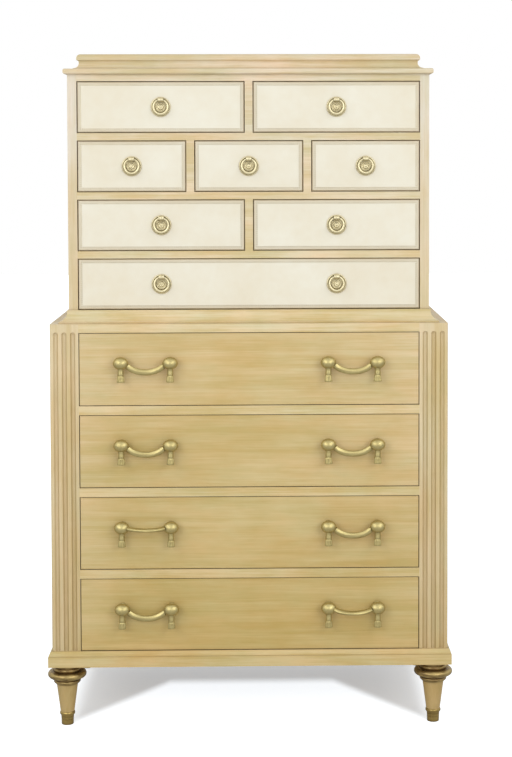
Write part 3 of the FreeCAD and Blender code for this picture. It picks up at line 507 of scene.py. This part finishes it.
def buildPanel(drawer, nail):
    low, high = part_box(drawer)
    edge, inset = panel["edge"] * mm, panel["nailInset"] * mm
    left, right, top = low.x + edge, high.x - edge, high.z - edge
    floor = low.z + (panel["gap"] - panel["rise"] + panel["edge"]) * mm
    front, back = low.y - panel["proud"] * mm, low.y + panel["deep"] * mm
    shape = bmesh.new()
    bmesh.ops.create_cube(shape, size=1.0)
    bmesh.ops.scale(shape, vec=(right - left, back - front, top - floor), verts=shape.verts)
    middle = ((left + right) / 2, (front + back) / 2, (floor + top) / 2)
    bmesh.ops.translate(shape, vec=middle, verts=shape.verts)
    rim = [line for line in shape.edges if all(corner.co.y < low.y for corner in line.verts)]
    bmesh.ops.bevel(shape, geom=rim, offset=panel["round"] * mm, segments=panel["roundSteps"], affect="EDGES",
                    profile=0.5, material=-1)
    face = min(shape.faces, key=lambda face: face.calc_center_median().y)
    for step in (inset - panel["round"] * mm, panel["borderSoft"] * mm):
        bmesh.ops.inset_region(shape, faces=[face], thickness=step)
    border = shape.verts.layers.float.new("border")
    for corner in shape.verts:
        corner[border] = 0.0 if corner in face.verts else 1.0
    name = drawer.removeprefix("drawer_")
    finishPiece(f"leather_{name}", shape, drawer, "leather")

    wide, tall = right - left - 2 * inset, top - floor - 2 * inset
    across, up = round(wide / panel["nailPitch"] / mm), round(tall / panel["nailPitch"] / mm)
    rows, columns = (floor + inset, top - inset), (left + inset, right - inset)
    spots = [(left + inset + wide * i / across, z) for i in range(across + 1) for z in rows]
    spots += [(x, floor + inset + tall * i / up) for i in range(1, up) for x in columns]
    shape = bmesh.new()
    addCopies(shape, nail, [Matrix.Translation((x, front, z)) @ outwards for x, z in spots])
    finishPiece(f"nails_{name}", shape, drawer, "nail", sharp=60)


print("leather panels and nails")
nail = nailMesh()
for name in sorted(nodes):
    if name.startswith("drawer_") and name.replace("drawer_", "ring_plates_") in nodes:
        buildPanel(name, nail)


ringPull = {
    # radius and height off the face, from the middle of the back round the rim to the middle of the boss
    "plate": [(0, -0.2), (21.8, -0.2), (22.4, 0.4), (22.6, 1.5), (22.1, 2.6), (21.1, 3.1), (19.9, 2.8),
              (19.2, 2.1), (17.8, 1.4), (16.0, 1.15), (14.0, 1.2), (12.6, 1.5), (12.0, 2.2), (11.4, 3.0),
              (10.6, 3.3), (9.8, 3.0), (9.2, 2.2), (8.6, 1.5), (7.6, 1.4), (6.6, 1.6), (6.2, 2.4),
              (5.9, 3.6), (5.2, 4.3), (4.4, 4.3), (3.9, 3.8), (3.0, 3.7), (2.4, 4.3), (1.4, 4.9), (0, 5.1)],
    "plateSteps": 48,
    # radius and place along the axis that the ring swings on
    "knuckle": [(3.9, -6.1), (4.6, -6.2), (5.1, -5.7), (5.1, -4.7), (4.7, -4.1), (4.6, -2.4), (4.9, -1.2),
                (5.0, 0), (4.9, 1.2), (4.6, 2.4), (4.7, 4.1), (5.1, 4.7), (5.1, 5.7), (4.6, 6.2), (3.9, 6.1)],
    "knuckleSteps": 24, "webWide": 9.0, "webTall": 8.0, "webRound": 1.4, "webShort": 1.8,
    "out": 7.6, "radius": 16, "topWire": 2.15, "lowWire": 3.1, "wireSteps": 14, "ringSteps": 48,
    "spinRadius": 10,    # the ring is spun with a wire of 1 at this radius, then drawn to size
}


def ringPlateMesh():
    out, up = ringPull["out"] * mm, ringPull["radius"] * mm
    plate = keepMesh("plate", turnedForm(ringPull["plate"], ringPull["plateSteps"]))
    knuckle = keepMesh("knuckle", turnedForm(ringPull["knuckle"], ringPull["knuckleSteps"], ring=True))
    web = bmesh.new()    # the neck that carries the knuckle
    bmesh.ops.create_cube(web, size=1.0)
    deep = out - ringPull["topWire"] * mm * ringPull["webShort"]
    bmesh.ops.scale(web, vec=(ringPull["webWide"] * mm, deep, ringPull["webTall"] * mm), verts=web.verts)
    bmesh.ops.bevel(web, geom=web.edges[:], offset=ringPull["webRound"] * mm, segments=2, affect="EDGES",
                    profile=0.5, material=-1)
    neck = keepMesh("neck", web)
    shape = bmesh.new()
    addCopies(shape, plate, [outwards])
    addCopies(shape, knuckle, [Matrix.Translation((0, -out, up)) @ sideways])
    addCopies(shape, neck, [Matrix.Translation((0, -deep / 2, up))])
    return keepMesh("ringPlate", shape)


def buildRing(name, centre):
    shape = bmesh.new()
    wire = bmesh.ops.create_circle(shape, segments=ringPull["wireSteps"], radius=1.0)["verts"]
    bmesh.ops.rotate(shape, cent=(0, 0, 0), matrix=Matrix.Rotation(math.radians(90), 3, "Y"), verts=wire)
    bmesh.ops.translate(shape, vec=(0, 0, ringPull["spinRadius"]), verts=wire)
    bmesh.ops.spin(shape, geom=shape.verts[:] + shape.edges[:], cent=(0, 0, 0), axis=(0, 1, 0),
                   angle=math.tau, steps=ringPull["ringSteps"], use_merge=True)
    for corner in shape.verts:    # the wire thins towards the knuckle
        away = Vector((corner.co.x, 0, corner.co.z))
        reach = away.length - ringPull["spinRadius"]
        low = 0.5 - 0.5 * corner.co.z / away.length
        wireRadius = ringPull["topWire"] + (ringPull["lowWire"] - ringPull["topWire"]) * low
        place = away.normalized() * (ringPull["radius"] + reach * wireRadius)
        corner.co = (place + Vector((0, corner.co.y * wireRadius, 0))) * mm
    bmesh.ops.translate(shape, vec=centre, verts=shape.verts)
    bmesh.ops.recalc_face_normals(shape, faces=shape.faces)
    return finishPiece(f"loop_{name}", shape, f"ring_{name}", "ring", sharp=60)


print("ring pulls")
plateMesh = ringPlateMesh()
plateSpots = {}
for name in sorted(nodes):
    if name.startswith("ring_") and not name.startswith("ring_plates"):
        spot = name.removeprefix("ring_")
        middle = pivotOf(f"{name}_swing")[0] - Vector((0, 0, ringPull["radius"] * mm))
        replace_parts(buildRing(spot, middle), name)
        drawer = "fourth" if spot.startswith("fourth") else spot
        plateSpots.setdefault(drawer, []).append(middle + Vector((0, ringPull["out"] * mm, 0)))
for drawer, places in plateSpots.items():
    shape = bmesh.new()
    addCopies(shape, plateMesh, [Matrix.Translation(place) for place in places])
    plates = finishPiece(f"plates_{drawer}", shape, f"drawer_{drawer}", "ring", sharp=50,
                         smoothing=1)
    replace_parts(plates, f"ring_plates_{drawer}")


bailPull = {
    "span": 110.2, "out": 19, "ball": (17.4, 14.2, 14.2), "ballLow": 0.8, "ballSteps": 32,
    # radius and height, off the face for the stem and down from the ball's middle for the tassel
    "stem": [(0, -0.2), (10.2, -0.2), (10.6, 0.6), (10.4, 1.8), (9.4, 2.6), (7.8, 2.9), (7.0, 3.6),
             (5.9, 5.2), (5.6, 7.0), (6.0, 8.6), (7.4, 9.8), (7.6, 11.0), (6.6, 12.0), (0, 14)],
    "tassel": [(0, -11), (7.0, -13.0), (6.9, -15.0), (6.5, -16.4), (6.5, -18.0), (6.7, -20.5), (6.9, -24.0),
               (7.0, -27.2), (6.6, -28.1), (6.6, -29.0), (7.1, -29.6), (7.3, -31.5), (7.7, -35.5),
               (8.1, -39.5), (8.5, -42.4), (8.1, -43.4), (6.4, -42.6), (0, -42.0)],
    "stemSteps": 32, "tasselSteps": 64,
    "fringeFrom": -29.5, "fringes": 16, "fringeDeep": 0.42, "fringeCore": 5,
    # the bow is part of an ellipse, wider than high, whose ends lie against the balls
    "bowWide": 45, "bowTall": 26.0, "bowRise": 5, "reach": 40.6, "clear": 0.45,
    "endTall": 6.6, "midTall": 6.7, "endThick": 5.0, "midThick": 4.2,
    "folds": 5, "foldDeep": 0.03, "wrap": 0.9, "sectionSteps": 30, "bowSteps": 44,
    "capInsets": (0.34, 0.3),    # rings of faces in each end, as shares of the section
    "swingBack": 30,    # degrees from hanging to a bail's lower limit
}


def postMesh():
    stem = keepMesh("stem", turnedForm(bailPull["stem"], bailPull["stemSteps"]))
    ball = bmesh.new()
    steps = bailPull["ballSteps"]
    bmesh.ops.create_uvsphere(ball, u_segments=steps, v_segments=steps // 2, radius=1.0)
    bmesh.ops.rotate(ball, cent=(0, 0, 0), matrix=Matrix.Rotation(math.radians(90), 3, "Y"), verts=ball.verts)
    bmesh.ops.scale(ball, vec=[size * mm for size in bailPull["ball"]], verts=ball.verts)
    tassel = turnedForm(bailPull["tassel"], bailPull["tasselSteps"])
    for corner in tassel.verts:    # the fringe below the band
        reach = math.hypot(corner.co.x, corner.co.y)
        if corner.co.z < bailPull["fringeFrom"] * mm and reach > bailPull["fringeCore"] * mm:
            ripple = math.cos(bailPull["fringes"] * math.atan2(corner.co.y, corner.co.x))
            widen = 1 + ripple * bailPull["fringeDeep"] * mm / reach
            corner.co.x *= widen
            corner.co.y *= widen
    out = Matrix.Translation((0, -bailPull["out"] * mm, 0))
    shape = bmesh.new()
    addCopies(shape, stem, [outwards])
    addCopies(shape, keepMesh("ball", ball), [out @ Matrix.Translation((0, 0, -bailPull["ballLow"] * mm))])
    addCopies(shape, keepMesh("tassel", tassel), [out])
    return keepMesh("post", shape)


def bowPoint(across):
    # centre line of the bow and the way down from it, at a share of its half width
    x = across * bailPull["reach"]
    rise = math.sqrt(1 - (x / bailPull["bowWide"]) ** 2)
    place = Vector((x, 0, bailPull["bowRise"] - bailPull["bowTall"] * rise))
    slope = bailPull["bowTall"] * x / bailPull["bowWide"] ** 2 / rise
    return place, Vector((slope, 0, -1)).normalized()


def bailMesh():
    shape = bmesh.new()
    steps = bailPull["sectionSteps"]
    section = bmesh.ops.create_circle(shape, cap_ends=True, segments=steps, radius=1.0)["verts"]
    for depth in bailPull["capInsets"]:
        cap = [face for face in shape.faces if len(face.verts) > 4]
        bmesh.ops.inset_region(shape, faces=cap, thickness=depth)
    turn = Matrix.Rotation(math.radians(90), 3, "Y")
    bmesh.ops.rotate(shape, cent=(0, 0, 0), matrix=turn, verts=shape.verts)
    firstCap = set(shape.verts)
    rim = {edge for corner in section for edge in corner.link_edges if edge.is_boundary}
    for _ in range(bailPull["bowSteps"]):
        made = bmesh.ops.extrude_edge_only(shape, edges=list(rim))["geom"]
        rim = {part for part in made if isinstance(part, bmesh.types.BMEdge)}
        ring = [part for part in made if isinstance(part, bmesh.types.BMVert)]
        bmesh.ops.translate(shape, vec=(1, 0, 0), verts=ring)
    bmesh.ops.holes_fill(shape, edges=list(rim))
    for depth in bailPull["capInsets"]:
        wide = [face for face in shape.faces if len(face.verts) > 4]
        cap = [face for face in wide if not firstCap.issuperset(face.verts)]
        bmesh.ops.inset_region(shape, faces=cap, thickness=depth)
    widest = bailPull["ball"][1] + bailPull["ballLow"] + bailPull["clear"]
    ends = bailPull["ball"][0] + bailPull["clear"]
    last = bailPull["bowSteps"]
    for corner in shape.verts:    # an oval bow, thinnest at its middle, with shallow folds that wind along it
        across = 2 * corner.co.x / last - 1
        middle, down = bowPoint(across)
        bulk = math.cos(across * math.pi / 2)
        angle = math.atan2(corner.co.z, corner.co.y)
        fold = 1 + bailPull["foldDeep"] * math.cos(bailPull["folds"] * (angle + bailPull["wrap"] * across))
        tall = bailPull["endTall"] + (bailPull["midTall"] - bailPull["endTall"]) * bulk
        thick = bailPull["endThick"] + (bailPull["midThick"] - bailPull["endThick"]) * bulk
        place = middle - down * corner.co.z * tall * fold + Vector((0, corner.co.y * thick * fold, 0))
        if corner.co.x in (0, last):    # the end faces follow the ball
            off = min(1, math.hypot(place.y, place.z) / widest)
            face = bailPull["span"] / 2 - ends * math.sqrt(1 - off ** 2)
            place.x = math.copysign(face, across)
        corner.co = place * mm
    bmesh.ops.recalc_face_normals(shape, faces=shape.faces)
    return keepMesh("bail", shape)


print("bail pulls")
post, bail = postMesh(), bailMesh()
for drawer in ("fifth", "sixth", "seventh", "eighth"):
    posts = []
    for side in ("left", "right"):
        spot = f"{drawer}_{side}"
        pivot, limits = pivotOf(f"bail_{spot}_swing")
        raised = Matrix.Rotation(math.radians(bailPull["swingBack"] + limits[0]), 4, "X")
        shape = bmesh.new()
        addCopies(shape, bail, [Matrix.Translation(pivot) @ raised])
        swag = finishPiece(f"swag_{spot}", shape, f"bail_{spot}", "pull", sharp=60)
        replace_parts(swag, f"bail_{spot}")
        face = pivot + Vector((0, bailPull["out"] * mm, 0))
        for end in (-1, 1):
            posts.append(Matrix.Translation(face + Vector((end * bailPull["span"] / 2 * mm, 0, 0))))
    shape = bmesh.new()
    addCopies(shape, post, posts)
    pair = finishPiece(f"posts_{drawer}", shape, f"drawer_{drawer}", "pull", sharp=50)
    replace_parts(pair, f"pull_posts_{drawer}")


ferrule = {
    "profile": [(0, 0), (13.0, 0), (13.6, 0.5), (13.8, 6.0), (13.95, 11.4), (13.3, 11.9), (13.3, 12.5),
                (14.1, 13.0), (14.35, 18.0), (13.7, 18.4), (13.7, 19.0), (14.5, 19.5), (14.7, 22.2),
                (15.4, 22.7), (16.8, 23.4), (17.3, 24.8), (17.3, 27.4), (16.8, 28.8), (15.9, 29.8),
                (15.3, 30.0), (0, 30.0)],
    "steps": 40, "reach": 17.3,    # its axis lies this far inside the node's box
}


def buildFerrules():
    low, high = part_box("ferrules")
    reach = ferrule["reach"] * mm
    mesh = keepMesh("ferrule", turnedForm(ferrule["profile"], ferrule["steps"]))
    shape = bmesh.new()
    spots = [(x, y) for x in (low.x + reach, high.x - reach) for y in (low.y + reach, high.y - reach)]
    addCopies(shape, mesh, [Matrix.Translation((x, y, low.z)) for x, y in spots])
    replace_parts(finishPiece("toeCaps", shape, "root", "toe", sharp=40), "ferrules")


print("ferrules")
buildFerrules()


light = {
    "azimuth": 27, "distance": 3.6, "tall": 1.6, "size": (1.7, 1.4), "power": 23, "aim": (0, 0, 0.75),
    "sideAzimuth": 52, "sideDistance": 3.0, "sideTall": 2.9, "sideSize": (2.4, 2.2), "sidePower": 23,
    "worldStrength": 0.455,
}
view = {
    "place": (0.0343, -3.93653, 1.2932),
    "yaw": 1.113, "pitch": -2.525, "roll": -0.129,
    "focalPixels": 1660.56, "centreX": 296.45, "centreY": 228.12,
    "imageWide": 512, "imageTall": 757, "sensor": 36.0,
}
paper = {
    "size": 14, "rough": 0.9, "specular": 0.1,
    # painted shadow: the paper's own lift is low where the chest stands over it, in a band under it and a
    # wedge from each front foot, and high all round
    "shade": 0.82, "lift": 0.8, "under": 0.33, "far": 1.0, "nearEdge": 1.0, "farEdge": 2.0,
    "halfWide": 0.415, "soft": 0.035, "footFront": -0.2, "bandFront": 0.1, "bandHalf": 0.2,
    "tint": (0.94, 1.0, 1.06),
}


def buildCamera():
    yaw, pitch, roll = (math.radians(view[k]) for k in ("yaw", "pitch", "roll"))
    forward = Vector((math.sin(yaw) * math.cos(pitch), math.cos(yaw) * math.cos(pitch), math.sin(pitch)))
    level = Vector((math.cos(yaw), -math.sin(yaw), 0))
    upright = level.cross(forward)
    across = level * math.cos(roll) + upright * math.sin(roll)
    above = across.cross(forward)
    turn = Matrix((across, above, -forward)).transposed().to_4x4()
    data = bpy.data.cameras.new("camera")
    data.sensor_width = view["sensor"]
    data.lens = view["focalPixels"] * view["sensor"] / view["imageTall"]
    data.shift_x = (view["imageWide"] / 2 - view["centreX"]) / view["imageTall"]
    data.shift_y = (view["centreY"] - view["imageTall"] / 2) / view["imageTall"]
    camera = bpy.data.objects.new("camera", data)
    camera.matrix_world = Matrix.Translation(view["place"]) @ turn
    scene.collection.objects.link(camera)
    scene.camera = camera


def areaLamp(name, place, size, power, aim):
    data = bpy.data.lights.new(name, "AREA")
    data.shape = "RECTANGLE"
    data.size, data.size_y = size
    data.energy = power
    lamp = bpy.data.objects.new(name, data)
    lamp.location = place
    lamp.rotation_euler = (Vector(aim) - Vector(place)).to_track_quat("-Z", "Y").to_euler()
    scene.collection.objects.link(lamp)


def buildFloor():
    mesh = bpy.data.meshes.new("studioFloor")
    shape = bmesh.new()
    bmesh.ops.create_grid(shape, x_segments=1, y_segments=1, size=paper["size"])
    shape.to_mesh(mesh)
    shape.free()
    floor = bpy.data.objects.new("studioFloor", mesh)
    scene.collection.objects.link(floor)
    material, tree, shader = newMaterial("studioPaper", Roughness=paper["rough"])
    shade = paper["shade"]
    shader.inputs["Base Color"].default_value = (shade, shade, shade, 1)
    shader.inputs["Specular IOR Level"].default_value = paper["specular"]
    place = addNode(tree, "TexCoord").outputs["Object"]
    away = addNode(tree, "VectorMath", {0: place}, operation="LENGTH").outputs["Value"]
    axes = addNode(tree, "SeparateXYZ", {0: place}).outputs
    aside = maths(tree, "ABSOLUTE", axes["X"])
    halfWide, soft = paper["halfWide"], paper["soft"]
    # painted shadow: the lift drops in a band under the chest and in a wedge from each front foot
    front = mapped(tree, aside, paper["bandHalf"], halfWide, paper["bandFront"], paper["footFront"])
    behind = maths(tree, "SUBTRACT", axes["Y"], front)
    inside = mapped(tree, aside, halfWide + soft, halfWide - soft, smooth=True)
    below = maths(tree, "MULTIPLY", mapped(tree, behind, -soft, soft, smooth=True), inside)
    near = mapped(tree, below, 0.0, 1.0, paper["lift"], paper["under"])
    spread = mapped(tree, away, paper["nearEdge"], paper["farEdge"], smooth=True)
    rays = addNode(tree, "LightPath")
    seen = maths(tree, "MAXIMUM", rays.outputs["Is Camera Ray"], rays.outputs["Is Transmission Ray"])
    far = maths(tree, "MULTIPLY", spread, maths(tree, "SUBTRACT", paper["far"], near))
    lift = maths(tree, "MULTIPLY", maths(tree, "ADD", near, far), seen)
    glow = addNode(tree, "Emission", {"Color": (*paper["tint"], 1), "Strength": lift})
    both = addNode(tree, "AddShader", {0: shader.outputs["BSDF"], 1: glow.outputs["Emission"]})
    tree.links.new(both.outputs["Shader"], tree.nodes["Material Output"].inputs["Surface"])
    mesh.materials.append(material)


def buildWorld():
    world = bpy.data.worlds.new("studio")
    scene.world = world
    world.use_nodes = True
    tree = world.node_tree
    dim = tree.nodes["Background"]
    dim.inputs["Color"].default_value = (1, 1, 1, 1)
    dim.inputs["Strength"].default_value = light["worldStrength"]
    rays = addNode(tree, "LightPath")
    white = addNode(tree, "Background", {"Color": (1, 1, 1, 1), "Strength": 1.0})
    seen = maths(tree, "MAXIMUM", rays.outputs["Is Camera Ray"], rays.outputs["Is Glossy Ray"])
    seen = maths(tree, "MAXIMUM", seen, rays.outputs["Is Transmission Ray"])
    both = addNode(tree, "MixShader", {0: seen, 1: dim.outputs[0], 2: white.outputs[0]})
    tree.links.new(both.outputs["Shader"], tree.nodes["World Output"].inputs["Surface"])


print("camera, lamps and floor")
buildCamera()
for name, side in (("left", -1), ("right", 1)):
    for kind, azimuth, distance, tall, size, power in (
            ("Key", "azimuth", "distance", "tall", "size", "power"),
            ("Softbox", "sideAzimuth", "sideDistance", "sideTall", "sideSize", "sidePower")):
        turn = math.radians(light[azimuth])
        place = (side * light[distance] * math.sin(turn), -light[distance] * math.cos(turn), light[tall])
        areaLamp(name + kind, place, light[size], light[power], light["aim"])
buildFloor()
buildWorld()
